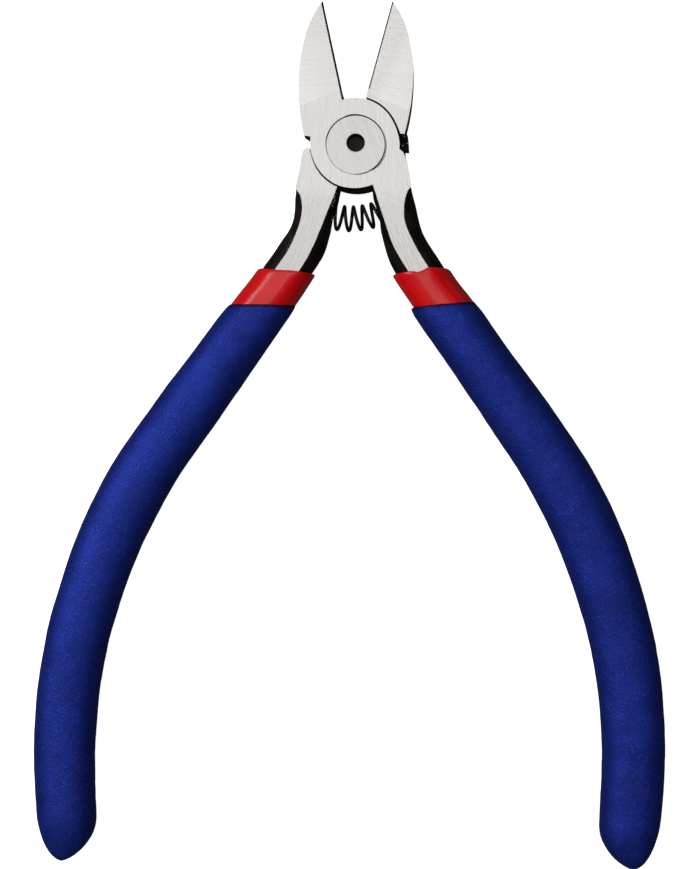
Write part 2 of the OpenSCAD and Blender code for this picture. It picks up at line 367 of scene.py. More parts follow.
def foam(name):
    """Foamed dip: pebbled skin with fine bright specks, grain painted in the bright blue of its sparkle
    highlights, and painted shade where the lip_painted_shade attribute marks its rim against the sleeve.
    """
    made, n, shader = material(name)
    point = object_point(n)
    pebble = n.add("TexVoronoi", {"feature": "SMOOTH_F1"}, Vector=point, Scale=3600.0, Smoothness=0.5)
    fine = n.noise(point, 6500.0, 3.0, 0.65)
    cloud = n.noise(point, 170.0, 4.0, 0.6)
    patch = n.noise(point, 420.0, 4.0, 0.6)
    base = n.ramp(cloud, (0.3, (0.0070, 0.0180, 0.170)), (0.7, (0.0097, 0.0255, 0.255)))
    # bright specks: grain of the skin, painted in the bright blue of its sparkle highlights
    sparkle_speck = n.ramp(n.noise(point, 5200.0, 2.0, 0.6), (0.54, 0.0), (0.62, 1.0))
    sparkle_speck = n.math("MULTIPLY", sparkle_speck, n.ramp(patch, (0.35, 0.2), (0.65, 0.9)))
    lip_painted_shade = n.add("Attribute", {"attribute_name": "lip_painted_shade"}).outputs["Fac"]
    colour = n.mix(sparkle_speck, base, (0.026, 0.063, 0.53))
    skin = n.bump(pebble.outputs["Distance"], 0.00012, 0.45)
    # half metallic, because the foam's skin has a blue sheen
    # (0.006, 0.003, 0.012) is the painted shade in the gap between sleeve and grip
    n.fill(shader, Base_Color=n.mix(lip_painted_shade, colour, (0.006, 0.003, 0.012)), Metallic=0.55,
           Roughness=n.ramp(fine, (0.3, 0.4), (0.75, 0.62)), Specular_IOR_Level=0.15,
           Normal=n.bump(fine, 0.00007, 0.6, Normal=skin))
    return made


def spring_steel(name):
    """Black drawn wire."""
    made, n, shader = material(name)
    point = object_point(n)
    cloud = n.noise(point, 1400.0, 3.0)
    black = n.ramp(cloud, (0.35, (0.004, 0.004, 0.004)), (0.75, (0.012, 0.011, 0.011)))
    gloss = n.ramp(n.noise(point, 5000.0, 2.0), (0.3, 0.28), (0.75, 0.42))
    n.fill(shader, Base_Color=black, Roughness=gloss, Specular_IOR_Level=0.35, IOR=1.35,
           Normal=n.bump(n.noise(point, 7000.0, 2.0), 0.00002, 0.3))
    return made


JOINT_STEEL = brushed("ground_joint_steel", (0.67, 0.647, 0.63), (3, 1, 0))
BLADE_STEEL = brushed("ground_blade_steel", (0.735, 0.708, 0.69), (17, 5, 2))
# brighter copy of the blade steel: painted light, making up for the light the right blade gets less of
RIGHT_BLADE_STEEL_PAINTED_BRIGHTER = brushed("ground_right_blade_steel_painted_brighter", (0.90, 0.866, 0.838), (41, 2, 7))
RIVET_STEEL = brushed("ground_rivet_steel", (0.625, 0.602, 0.591), (29, 9, 4))
BLACK = black_oxide("black_oxide")
# near-black on the left blade's honed edge and grey on the right's: painted dark reflection
DARK_PAINTED_REFLECTION_EDGE = honed_edge("honed_edge_painted_dark_reflection", (0.004, 0.004, 0.004), (0.012, 0.011, 0.01))
GREY_PAINTED_REFLECTION_EDGE = honed_edge("honed_edge_painted_grey_reflection", (0.03, 0.03, 0.03), (0.12, 0.12, 0.118))
# near-black inside the rivet's blind hole and on the head's side wall in the gap round it: painted shade
HOLE_AND_GAP_PAINTED_SHADE = honed_edge("rivet_hole_and_gap_painted_shade", (0.004, 0.003, 0.003), (0.014, 0.009, 0.007))
RED = vinyl("red_vinyl")
BLUE = foam("blue_foam")
SPRING = spring_steel("spring_wire")


# ---------------------------------------------------------------- handle path and tang

# A depth is a distance below the pivot, along -Y. Outlines are for a handle on the +X side.
# Middle of a handle, by depth
handle_middle = smooth([(17, 8.5), (24, 13.55), (30, 17.78), (40, 24.92), (50, 31.58), (56, 34.75),
                        (60, 36.55), (68, 39.4), (76, 41.5), (84, 42.7), (92, 43.12), (98, 42.95),
                        (101.6, 42.72), (105, 42.45), (109, 42.35)])
TANG_END = 99.0
# Inside the sleeve: half width of a tang and of its ground flat, and how far outwards the tang sits
TANG_HALF = [(23, 4.2), (44, 4.1), (60, 3.5), (80, 2.9), (99, 2.4)]
FLAT_HALF = [(23, 2.1), (44, 2.0), (60, 1.8), (80, 1.5), (99, 1.2)]
TANG_SHIFT = 0.1
# The faces are ground at a slant between two depths, and thin out from there to the end
SLANT, SLANT_FROM, SLANT_TO = 0.1, 6.2, 19.5
THIN_T = (3.07, 2.0)
# The black flanks are quarters of a superellipse of this power, drawn at these angles
FLANK_POWER = 2.2
FLANK_ANGLES = [math.pi / 2 * i / 22 for i in range(23)]
FLAT_STEPS = 4


def path_angle(d):
    """Lean of a handle from straight down, in radians."""
    return math.atan(float(handle_middle(d + 0.5)) - float(handle_middle(d - 0.5)))


def half_t(d):
    """Half thickness of a tang: full at the joint, then slanted with a soft start, then thin."""
    if d < SLANT_TO:
        past = max(0.0, d - SLANT_FROM)
        return MID_Z - SLANT * (past - 1 + math.exp(-past))
    return float(np.interp(d, (SLANT_TO, TANG_END), THIN_T))


def tang_edge(points, halves, way, shift=0.0):
    """Edge through (depth, x) points, and then at a half width from the middle of the handle."""
    return smooth(points + [(d, float(handle_middle(d)) + way * half + shift) for d, half in halves])


class Side:
    """One tang: its outer and inner edges and those of its ground flat. sign is -1 on the left."""

    def __init__(self, sign, outer, inner, flat_outer, flat_inner):
        self.sign = sign
        self.outer = tang_edge(outer, TANG_HALF, 1, TANG_SHIFT)
        self.inner = tang_edge(inner, TANG_HALF, -1, TANG_SHIFT)
        self.flat_outer = tang_edge(flat_outer, FLAT_HALF, 1)
        self.flat_inner = tang_edge(flat_inner, FLAT_HALF, -1)

    def section(self, d):
        """Full section as (x, height over the middle plane), from the inner side over the front."""
        x_in, x_out = float(self.inner(d)), float(self.outer(d))
        flat_in = max(x_in, float(self.flat_inner(d)))
        flat_out = min(x_out, float(self.flat_outer(d)))
        t = half_t(d)
        middle = (flat_in + flat_out) / 2

        def flank(edge, flat):
            """Quarter from the flat's edge down to the side. Its first step stays level."""
            reach = edge - middle
            share = min(0.9999, max(0.0, (flat - middle) / reach))
            full = t / (1 - share ** FLANK_POWER) ** (1 / FLANK_POWER)
            points = []
            for w in FLANK_ANGLES:
                out = max(0.0, 1 - (t * math.cos(w) / full) ** FLANK_POWER) ** (1 / FLANK_POWER)
                points.append((middle + reach * out, t * (math.cos(w) if w > 0.1 else 1)))
            return points

        flat_xs = [flat_in + (flat_out - flat_in) * i / FLAT_STEPS for i in range(1, FLAT_STEPS)]
        upper = flank(x_in, flat_in)[::-1] + [(x, t) for x in flat_xs] + flank(x_out, flat_out)
        return upper + [(x, -z) for x, z in upper[-2:0:-1]]

    def ring(self, d):
        return [(self.sign * x, -d, MID_Z + z) for x, z in self.section(d)]


LEFT_TANG = Side(
    -1,
    [(0.72, 7.35), (0.82, 7.62), (1.1, 7.8), (4.0, 8.35), (7.0, 8.98), (8.24, 9.14), (9.45, 9.16),
     (10.67, 9.27), (11.88, 9.56), (13.09, 10.13), (14.3, 10.98), (15.5, 11.75), (16.73, 12.56),
     (17.94, 13.44), (20, 14.8)],
    [(0.72, 1.1), (4.0, 1.9), (6.3, 2.2), (8.24, 2.52), (9.45, 2.77), (10.67, 3.03), (11.88, 3.29),
     (13.09, 3.68), (14.3, 4.0), (15.5, 4.32), (16.73, 4.8), (17.94, 5.5), (20, 6.85)],
    [(0.72, 7.8), (4.0, 8.5), (6.63, 9.05), (7.15, 8.66), (7.8, 8.2), (8.5, 8.0), (9.8, 7.86), (11, 7.98),
     (12.2, 8.28), (13.4, 8.7), (14.6, 9.17), (15.8, 9.75), (17, 10.48), (18.2, 11.33), (20, 12.55)],
    [(0.72, 0.9), (5.5, 2.0), (6.8, 2.75), (7.9, 3.12), (9.3, 3.72), (11, 4.4), (12.2, 4.83), (13.4, 5.35),
     (14.6, 5.82), (15.8, 6.38), (17, 6.97), (18.2, 7.68), (20, 8.85)])
RIGHT_TANG = Side(
    1,
    [(0.84, 6.7), (1.05, 7.15), (1.21, 7.37), (1.5, 7.53), (6.6, 8.49), (8.04, 8.87), (9.25, 9.2),
     (10.46, 9.47), (11.68, 9.79), (12.89, 10.19), (14.1, 10.81), (15.31, 11.58), (16.52, 12.42),
     (17.74, 13.22), (20, 14.7)],
    [(0.84, 1.0), (4.0, 1.9), (6.83, 2.55), (8.04, 2.72), (9.25, 2.95), (10.46, 3.28), (11.68, 3.6),
     (12.89, 3.92), (14.1, 4.22), (15.31, 4.55), (16.52, 4.92), (17.74, 5.4), (20, 6.7)],
    [(0.84, 7.0), (4.0, 8.3), (6.28, 8.5), (6.75, 8.12), (7.35, 7.8), (8.55, 7.5), (9.8, 7.4), (10.8, 7.42),
     (12, 7.7), (13.2, 8.15), (14.4, 8.75), (15.6, 9.4), (16.8, 10.13), (18, 10.92), (20, 12.3)],
    [(0.84, 0.9), (5.5, 2.5), (6.83, 2.95), (7.56, 3.2), (8.4, 3.47), (9.6, 3.88), (10.8, 4.3), (12, 4.72),
     (13.2, 5.12), (14.4, 5.55), (15.6, 6.1), (16.8, 6.78), (18, 7.55), (20, 8.85)])


def tang(side, top):
    """Tang from a depth down to its end, with the rings closest where it shows."""
    near = list(np.arange(top, 7.0, 0.35)) + list(np.arange(7.0, 20.0, 0.25))
    far = list(np.arange(20.0, TANG_END, 1.5)) + [TANG_END]
    return loft("tang", [side.ring(float(d)) for d in near + far])


# ---------------------------------------------------------------- jaws

# Sides are -1 for the left blade and 1 for the right one; outlines are for the right one.
# Lean of each cutting edge, and how far outwards of the pivot it runs
EDGE_LEAN = {-1: math.radians(12.9), 1: math.radians(14.2)}
EDGE_OFF = {-1: 0.30, 1: -0.24}
TIP_Y = 21.6
JAW_HALF_W, JAW_WIDE_Y = 8.7, 9.0
# Place and turn of the crease, from which the ground blade falls towards its tip
CREASE_AT, CREASE_A = (5.0, 6.6), math.radians(23)
FRONT_SLOPE, REAR_SLOPE = math.tan(math.radians(6.5)), math.tan(math.radians(21))
# Relief under the cutting edge, and the bevel that is honed along it
RELIEF_LEAN, RELIEF_DEPTH, EDGE_DROP = math.radians(25), 12.0, 0.25
HONE_SLOPE, HONE_PAST = math.tan(math.radians(40)), 0.4
RELIEF_FROM, PAST_TIP = 7.4, 22.5
# How far the ground faces are cut, along the crease and beyond it
GROUND_U, GROUND_V = (-9, 7), (-9, 17)
# Where a jaw's outline ends inside the lap
JAW_ROOT_X, JAW_ROOT_Y = 5.5, 5.0


def jaw_x(side, y):
    """Outer outline of a jaw; the right one is narrower low down."""
    u = y - JAW_WIDE_Y
    waist = 0.038 * max(0.0, 14 - y) if side > 0 else 0.0
    return JAW_HALF_W - 0.0155 * u * u - (3.0e-6 * u ** 5 if u > 0 else 0) - waist


def edge_x(side, y):
    """Cutting edge."""
    return y * math.tan(EDGE_LEAN[side]) + EDGE_OFF[side] / math.cos(EDGE_LEAN[side])


def crease_uv(x, y):
    """Place along the crease's line and beyond it."""
    dx, dy = x - CREASE_AT[0], y - CREASE_AT[1]
    c, s = math.cos(CREASE_A), math.sin(CREASE_A)
    return dx * c - dy * s, dx * s + dy * c


def crease_xy(u, v):
    """The opposite of crease_uv."""
    c, s = math.cos(CREASE_A), math.sin(CREASE_A)
    return CREASE_AT[0] + u * c + v * s, CREASE_AT[1] - u * s + v * c


def ground_z(u, v, crease):
    """Height of a blade's ground face."""
    return FRONT_Z - FRONT_SLOPE * (v - float(crease(u)))


def edge_cutter(side, section, crease, y_from, y_to):
    """Prism along a cutting edge. Section points are (into the blade, up) from the edge line."""
    across = (math.cos(EDGE_LEAN[side]), -math.sin(EDGE_LEAN[side]))
    rings = []
    for y in np.linspace(y_from, y_to, 40):
        x = edge_x(side, y)
        z = min(FRONT_Z, ground_z(*crease_uv(x, y), crease))
        rings.append([(side * (x + a * across[0]), y + a * across[1], z + up) for a, up in section])
    return loft("cutter", rings)


def jaw(side, shoulder, shoulder_in, crease, hone, hone_from):
    """Blade and shoulder. The outer outline starts at the height shoulder, and shoulder_in is the height
    of its inner corner. hone is the width of the honed edge, which starts hone_from above the pivot."""
    outline = ([(JAW_ROOT_X, shoulder_in)]
               + [(jaw_x(side, y), y) for y in np.linspace(shoulder, TIP_Y, 90)]
               + [(edge_x(side, TIP_Y), TIP_Y), (edge_x(side, JAW_ROOT_Y), JAW_ROOT_Y)])
    made = prism("jaw", [(side * x, y) for x, y in outline], 0, FRONT_Z)

    def at(u, v):
        x, y = crease_xy(u, v)
        return side * x, y

    combine(made, field("top", at, lambda u, v: ground_z(u, v, crease),
                        np.linspace(*GROUND_U, 33), np.linspace(*GROUND_V, 14), FRONT_Z + 4))
    combine(made, field("under", at, lambda u, v: REAR_SLOPE * v,
                        np.linspace(*GROUND_U, 3), np.linspace(*GROUND_V, 3), -6))
    relief = [(-0.6, -EDGE_DROP), (0.0, -EDGE_DROP),
              (RELIEF_DEPTH * math.sin(RELIEF_LEAN), -EDGE_DROP - RELIEF_DEPTH * math.cos(RELIEF_LEAN)),
              (-0.6, -EDGE_DROP - RELIEF_DEPTH)]
    combine(made, edge_cutter(side, relief, crease, RELIEF_FROM, PAST_TIP))
    bevel = [(hone + HONE_PAST, HONE_PAST * HONE_SLOPE), (-EDGE_DROP, -(hone + EDGE_DROP) * HONE_SLOPE),
             (-EDGE_DROP, HONE_PAST * HONE_SLOPE)]
    combine(made, edge_cutter(side, bevel, crease, hone_from, PAST_TIP))
    return made


# How far the hand-ground crease strays from its line, by place along it
LEFT_CREASE = smooth([(-9, -2.5), (-2.758, -0.18), (0.41, 0.391), (2.975, 0.285), (7, -0.2)])
RIGHT_CREASE = smooth([(-9, 1.2), (-3.362, 0.115), (-1.241, -0.429), (0.918, -0.36), (3.212, -0.30),
                       (7, -0.3)])


# ---------------------------------------------------------------- joint and levers

def bell(a, middle, width):
    """Smooth bump of height 1 round a direction; all but a are in degrees."""
    away = (math.degrees(a) - middle + 180) % 360 - 180
    return math.exp(-(away / width) ** 2)


def front_lap(a):
    """Hand-ground lap: its radius by angle, a little flatter at the upper right."""
    return (6.76 - 0.03 * math.cos(a) + 0.06 * math.sin(a)
            - 0.23 * bell(a, 22, 24) - 0.07 * bell(a, 50, 20) + 0.07 * bell(a, 243, 16))


def front_room(a):
    """Room in the rear lever round the front lap: the lap and an uneven gap."""
    gap = (0.25 + 0.05 * math.cos(a) + 0.06 * bell(a, 10, 12) + 0.05 * bell(a, 235, 25)
           - 0.1 * bell(a, 195, 15))
    return front_lap(a) + gap


REAR_LAP_R, REAR_ROOM_R = 6.93, 7.08
# Rooms are cut a little past the middle plane
PAST_MID = 0.03
STOP_A = math.radians(4.4)
HEAD_R, HEAD_T = 4.42, 1.5
HEAD_AT, HOLE_AT, HOLE_R = (0.03, -0.22), (0.05, 0.1), 1.35
# Gap round the head by direction in degrees from +X: a little unround, and closed at the lower left
HEAD_GAP = ((0, 0.26), (20, 0.17), (45, 0.13), (80, 0.15), (98, 0.22), (116, 0.14), (160, 0.13),
            (182, 0.08), (202, 0.02), (262, 0.02), (282, 0.11), (300, 0.13), (318, 0.36), (340, 0.36),
            (360, 0.26))
SHANK_R, SEAT_R = 2.46, 2.55
SPRING_Y = 11.28
POCKET_R, POCKET_LEAN = 2.45, math.radians(17)


def lap(name, radius, low, high):
    """Round plate about the pivot; its radius is a function of the direction."""
    return prism(name, polar(radius, 240), low, high)


def rivet_seat():
    """Hole for the shank, wider at the rear for the spread tail."""
    top = FRONT_Z - 0.5
    return turned("seat", [(0, BELOW), (3.65, BELOW), (3.65, 0), (SEAT_R, 1.45), (SEAT_R, top), (0, top)])


def head_seat():
    """Seat of the head: the head and the gap round it."""
    degrees, gaps = zip(*HEAD_GAP)
    outline = polar(lambda a: HEAD_R + float(np.interp(math.degrees(a), degrees, gaps)), 240, HEAD_AT)
    return prism("seat", outline, FRONT_Z - HEAD_T - 0.05, ABOVE)


def spring_pocket(side, depth):
    """Round pocket square to the inner wall of a tang."""
    across, along = math.cos(POCKET_LEAN), math.sin(POCKET_LEAN)
    back, length = 3, 5.3
    start = (-back * across + depth * along, -back * along - depth * across)
    rings = []
    for reach in (0.0, length):
        ring = []
        for a in around(72):
            sideways, up = POCKET_R * math.cos(a), POCKET_R * math.sin(a)
            x = start[0] + reach * across - sideways * along
            y = start[1] + reach * along + sideways * across
            ring.append((side * x, y, MID_Z + up))
        rings.append(ring)
    return loft("pocket", rings)


# Finishes of a lever's faces, in the order of its material slots
FLAT, BLADE, FORGED, HONED = range(4)


def beyond_crease(x, y, crease):
    u, v = crease_uv(x, y)
    return v > float(crease(u)) - 0.01


def finish_of(face, blade_side, crease):
    """Finish of a face, by where it lies and how it is turned."""
    c, nz = face.center, face.normal.z
    on_blade = c.y > 0 and c.x * blade_side > 0 and beyond_crease(abs(c.x), c.y, crease)
    on_lug = c.x > 6.5 and -1.6 < c.y < 2.4 and 0.1 < c.z < MID_Z + 0.1
    in_joint = abs(c.z - MID_Z) < 0.1 and math.hypot(c.x, c.y) < 7.2
    if on_lug or in_joint:
        return FORGED
    if abs(nz) > 0.985 and not on_blade:
        return FLAT
    if c.y < -6.5 and abs(nz) > 0.93 and abs(abs(c.z - MID_Z) - half_t(-c.y)) < 0.02:
        return FLAT
    if on_blade and abs(nz) > 0.9:
        return BLADE
    if on_blade and 0.6 < nz < 0.9:
        return HONED
    return FORGED


# How far sideways the grinding strokes have followed the tang, by depth
STROKE_SHIFT = smooth([(6.0, 0.0), (20.0, 5.3), (24.0, 8.0), (99.0, 37.0)])
# Lean of the strokes over each blade
STROKE_LEAN = {-1: math.radians(4), 1: math.radians(-9)}
# How far a rubbed edge reaches from the ground flat
RUB_REACH = 0.3


def dress_lever(lever, side, blade_side, painted_reflection_edge_material):
    """Gives each face of a lever its finish, the direction of its strokes and its rubbed edges."""
    mesh = lever.data
    blade_steel, crease = BLADE_STEEL, LEFT_CREASE
    if blade_side > 0:
        # the right blade takes its brighter copy of the steel, which is painted light
        blade_steel, crease = RIGHT_BLADE_STEEL_PAINTED_BRIGHTER, RIGHT_CREASE
    for steel in (JOINT_STEEL, blade_steel, BLACK, painted_reflection_edge_material):
        mesh.materials.append(steel)
    c, s = math.cos(STROKE_LEAN[blade_side]), math.sin(STROKE_LEAN[blade_side])

    def stroke(p, zone, faces_down):
        """(across, along) the strokes, which bow a little on a blade; each finish has its own layer."""
        if zone == BLADE:
            across, along = -s * p.x + c * p.y - 0.012 * (abs(p.x) - 5) ** 2, c * p.x + s * p.y
        else:
            lean_x = side.sign * float(STROKE_SHIFT(max(6.0, -p.y))) if p.x * side.sign > 0 else 0.0
            across, along = p.x - lean_x, p.y
        return across, along, zone * 7.0 + (3.0 if faces_down else 0.0)

    def rub(p, zone):
        """1 on the black steel right beside the tang's ground flat, 0 further off."""
        if zone != FORGED or p.y >= -7 or p.x * side.sign <= 0:
            return 0.0
        gap = min(abs(abs(p.x) - float(edge(-p.y))) for edge in (side.flat_outer, side.flat_inner))
        return max(0.0, 1 - gap / RUB_REACH)

    strokes = np.zeros((len(mesh.loops), 3), np.float32)
    rubs = np.zeros(len(mesh.loops), np.float32)
    zones = np.zeros(len(mesh.polygons), int)
    for face in mesh.polygons:
        zone = finish_of(face, blade_side, crease)
        zones[face.index] = face.material_index = zone
        for corner in face.loop_indices:
            p = mesh.vertices[mesh.loops[corner].vertex_index].co
            strokes[corner] = stroke(p, zone, face.normal.z < 0)
            rubs[corner] = rub(p, zone)
    store(mesh, "stroke", "FLOAT_VECTOR", "CORNER", strokes)
    store(mesh, "rub", "FLOAT", "CORNER", rubs)
    mesh.shade_smooth()
    mesh.set_sharp_from_angle(angle=math.radians(30))
    # an edge between two finishes is sharp too
    beside = {}
    for face in mesh.polygons:
        for key in face.edge_keys:
            beside.setdefault(key, []).append(zones[face.index])
    for edge in mesh.edges:
        if len(set(beside.get(edge.key, []))) > 1:
            edge.use_edge_sharp = True


def front_lever():
    """Left blade, front lap and right tang."""
    lever = jaw(-1, 1.07, -0.35, LEFT_CREASE, 0.3, 5.2)
    # black slope under the left shoulder: x, then y of its upper edge and of its lower edge
    slope = []
    for x, upper, lower in ((-8.4, 1.62, 1.55), (-6.74, 0.95, 0.47)):
        step = upper - lower
        slope.append([(x, upper + step, ABOVE), (x, lower - step, FRONT_Z - 2), (x, lower - 2, ABOVE)])
    combine(lever, loft("slope", slope))
    combine(lever, tang(RIGHT_TANG, 0.84), "UNION")
    combine(lever, lap("lap", front_lap, MID_Z, FRONT_Z), "UNION")
    # the stop: a pad that the lug of the other lever rests on
    combine(lever, prism("pad", [(5.5, -2), (7.45, -2), (7.4, 0), (5.5, 0)], 0.2, MID_Z), "UNION")
    combine(lever, lap("room", lambda a: REAR_ROOM_R, BELOW, MID_Z + PAST_MID))
    low = -math.tan(STOP_A + math.radians(0.4))
    combine(lever, prism("stop_seat", [(0, 0), (12, 12 * low), (12, 6), (0, 6)], BELOW, MID_Z + PAST_MID))
    # room behind the left shoulder, for the other lever as the jaws close
    combine(lever, prism("room", [(-12, -1), (-3, -1), (-3, 2.2), (-12, 2.2)], BELOW, MID_Z + PAST_MID))
    combine(lever, rivet_seat())
    combine(lever, head_seat())
    combine(lever, spring_pocket(1, SPRING_Y - 0.35))
    lever.name = "front_lever_forging"
    dress_lever(lever, RIGHT_TANG, -1, DARK_PAINTED_REFLECTION_EDGE)
    return place(lever, "front_half", "front_lever")


def rear_lever():
    """Right blade with the lug below it, rear lap and left tang."""
    lever = jaw(1, 1.5, 1.6, RIGHT_CREASE, 0.22, 8.2)
    combine(lever, tang(LEFT_TANG, 0.72), "UNION")
    combine(lever, lap("lap", lambda a: REAR_LAP_R, 0, MID_Z), "UNION")
    drop = math.tan(STOP_A)
    lug = [(5.5, 2.4), (7.3, 2.4), (7.33, 0.9), (7.38, -7.38 * drop), (5.5, -5.5 * drop)]
    combine(lever, prism("lug", lug, 0.2, MID_Z - 0.2), "UNION")
    ledge = [(7.2, 2.4), (7.45, 2.4), (7.8, 1.6), (7.93, 0.4), (7.97, -7.97 * drop), (7.2, -7.15 * drop)]
    combine(lever, prism("ledge", ledge, 0.3, MID_Z - 0.55), "UNION")
    combine(lever, lap("room", front_room, MID_Z - PAST_MID, ABOVE))
    combine(lever, rivet_seat())
    combine(lever, spring_pocket(-1, SPRING_Y))
    lever.name = "rear_lever_forging"
    dress_lever(lever, LEFT_TANG, 1, GREY_PAINTED_REFLECTION_EDGE)
    return place(lever, "rear_half", "rear_lever")


def rivet():
    """Flush rivet: spread tail, shank and head, with a blind hole in the head."""
    def from_front(profile):
        return [(r, FRONT_Z - depth) for r, depth in profile]

    made = turned("pivot_rivet_head", [(0, 0.0), (3.35, 0.0), (3.5, 0.12), (SHANK_R, 1.4),
                                       *from_front([(SHANK_R, 1.2), (0, 1.2)])], 120)
    head = from_front([(0, HEAD_T), (HEAD_R, HEAD_T), (HEAD_R, 0.06), (HEAD_R - 0.05, 0.004), (0, 0.004)])
    combine(made, turned("head", head, 200, HEAD_AT), "UNION")
    hole = from_front([(0, 2.5), (0.5, 2.46), (1.15, 2.4), (1.33, 2.2), (HOLE_R, 0.07), (1.43, -0.01),
                       (1.43, -0.5), (0, -0.5)])
    combine(made, turned("hole", hole, 120, HOLE_AT))
    mesh = made.data
    mesh.materials.append(RIVET_STEEL)
    mesh.materials.append(HOLE_AND_GAP_PAINTED_SHADE)
    lean = math.radians(-20)
    strokes = np.zeros((len(mesh.loops), 3), np.float32)
    for face in mesh.polygons:
        c = face.center
        in_hole = (math.hypot(c.x - HOLE_AT[0], c.y - HOLE_AT[1]) < HOLE_R + 0.01
                   and FRONT_Z - 2.6 < c.z < FRONT_Z - 0.02)
        on_wall = math.hypot(c.x - HEAD_AT[0], c.y - HEAD_AT[1]) > HEAD_R - 0.03
        # the hole and the head's side wall, seen through the gap, take the near-black painted shade
        face.material_index = 1 if in_hole or on_wall else 0
        for corner in face.loop_indices:
            p = mesh.vertices[mesh.loops[corner].vertex_index].co
            strokes[corner] = (math.cos(lean) * p.x - math.sin(lean) * p.y,
                               math.sin(lean) * p.x + math.cos(lean) * p.y, p.z)
    store(mesh, "stroke", "FLOAT_VECTOR", "CORNER", strokes)
    mesh.shade_smooth()
    mesh.set_sharp_from_angle(angle=math.radians(25))
    return place(made, "front_half", "pivot_rivet")


# ---------------------------------------------------------------- spring

def spring():
    """Compression spring along an arc about the pivot. It is squeezed between the two levers."""
    # angles about the pivot, in degrees: of one turn, of half the spring, and where a turn is furthest out
    turn_a, half_a, far_a = 8.1, 23.5, 3.0
    # how far the turns lean, in degrees, and how much higher they lie: everywhere, and towards the right
    lean_a, lift, right_lift = 0.9, 0.12, 0.4
    coil_r, wire_r = 1.8, 0.26
    steps = round(2 * half_a / turn_a * 40)

    def angle(i):
        return half_a * (2 * i / steps - 1)

    def at(i):
        turn = math.radians(360 * (angle(i) - far_a) / turn_a)
        along = math.radians(angle(i) + lean_a * math.cos(turn))
        r = SPRING_Y + coil_r * math.cos(turn)
        x = r * math.sin(along)
        y = lift + right_lift * float(ease(x, -3.2, 3.2)) - r * math.cos(along)
        return Vector((x, y, MID_Z - coil_r * math.sin(turn)))

    rings = []
    for i in range(steps + 1):
        p = at(i)
        run = (at(i + 0.5) - at(i - 0.5)).normalized()
        a = math.radians(angle(i))
        out = p - Vector((SPRING_Y * math.sin(a), -SPRING_Y * math.cos(a), MID_Z))
        out = (out - out.dot(run) * run).normalized()
        third = run.cross(out)
        rings.append([tuple(p + wire_r * (math.cos(w) * out + math.sin(w) * third)) for w in around(16)])
    made = loft("return_spring_coil", rings)
    made.data.materials.append(SPRING)
    made.data.shade_smooth()
    place(made, None, "return_spring")
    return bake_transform(made)


# ---------------------------------------------------------------- sleeves

# A ring of skin goes round its tang by these directions: 0 is outwards, a quarter turn is the front
RING = 144
DIRECTIONS = around(RING)
ANGLES = np.array(DIRECTIONS)


class Skin:
    """Surface at a distance from a tang, by depth and by direction round it. Its section is the tang's,
    with the corners rounded: softly on the inner side, less on the outer."""

    # spreads of the rounding, in steps between directions
    SOFT, CRISP = 4.5, 1.4

    def __init__(self, side):
        self.side = side
        self.depths = np.concatenate([np.arange(17.0, 30.0, 0.25), np.arange(30.0, TANG_END + 3, 1.5)])
        reach = np.arange(-14, 15)
        weights = [np.exp(-0.5 * (reach / spread) ** 2) for spread in (self.SOFT, self.CRISP)]
        outer = ease(np.cos(ANGLES), -0.1, 0.3)
        ways = np.stack([np.cos(ANGLES), np.sin(ANGLES)])
        table, slants = [], []
        for d in self.depths:
            held = float(min(d, TANG_END))
            points = np.array(side.section(held))
            centre = np.array([points[:, 0].mean(), 0.0])
            # how far the section reaches each way, averaged over nearby directions
            support = ((points - centre) @ ways).max(axis=0)
            soft, crisp = (sum(w * np.roll(support, int(k)) for w, k in zip(row, reach)) / row.sum()
                           for row in weights)
            support = soft * (1 - outer) + crisp * outer
            turn = (np.roll(support, -1) - np.roll(support, 1)) / (2 * 2 * math.pi / RING)
            table.append(np.stack([centre[0] + support * ways[0] - turn * ways[1],
                                   support * ways[1] + turn * ways[0]], axis=1))
            # a level ring cuts a leaning sleeve at a slant, so it is thicker sideways
            slants.append(1 / math.cos(path_angle(held)))
        self.table, self.slants = np.array(table), np.array(slants)

    def point(self, i, d, off):
        """Point in direction i at depth d and at a distance off the tang."""
        j = float(np.interp(d, self.depths, np.arange(len(self.depths))))
        low = min(int(j), len(self.depths) - 2)
        x, z = self.table[low, i] * (1 - j + low) + self.table[low + 1, i] * (j - low)
        a = DIRECTIONS[i]
        out = x + off * math.cos(a) * self.slants[low]
        return self.side.sign * out, -d, MID_Z + z + off * math.sin(a)


SLEEVE_T, SLEEVE_END = 0.55, 100.0
# Play between a sleeve and its tang, and the depth from which the sleeve's rings are level
SLEEVE_PLAY, LEVEL_FROM = 0.03, 27.0
# Rolled rim, from the inside over the top: (distance off the tang, depth below the rim)
RIM = [(SLEEVE_PLAY, 0.7), (SLEEVE_PLAY, 0.12), (0.12, 0.03), (0.26, 0.0), (0.40, 0.05), (0.50, 0.16),
       (0.55, 0.34), (0.57, 0.7)]


def sleeve_off(d):
    """Distance from the tang to the sleeve's outside: less where the grip covers it."""
    return SLEEVE_T - 0.3 * float(ease(d, 24.3, 26.0))


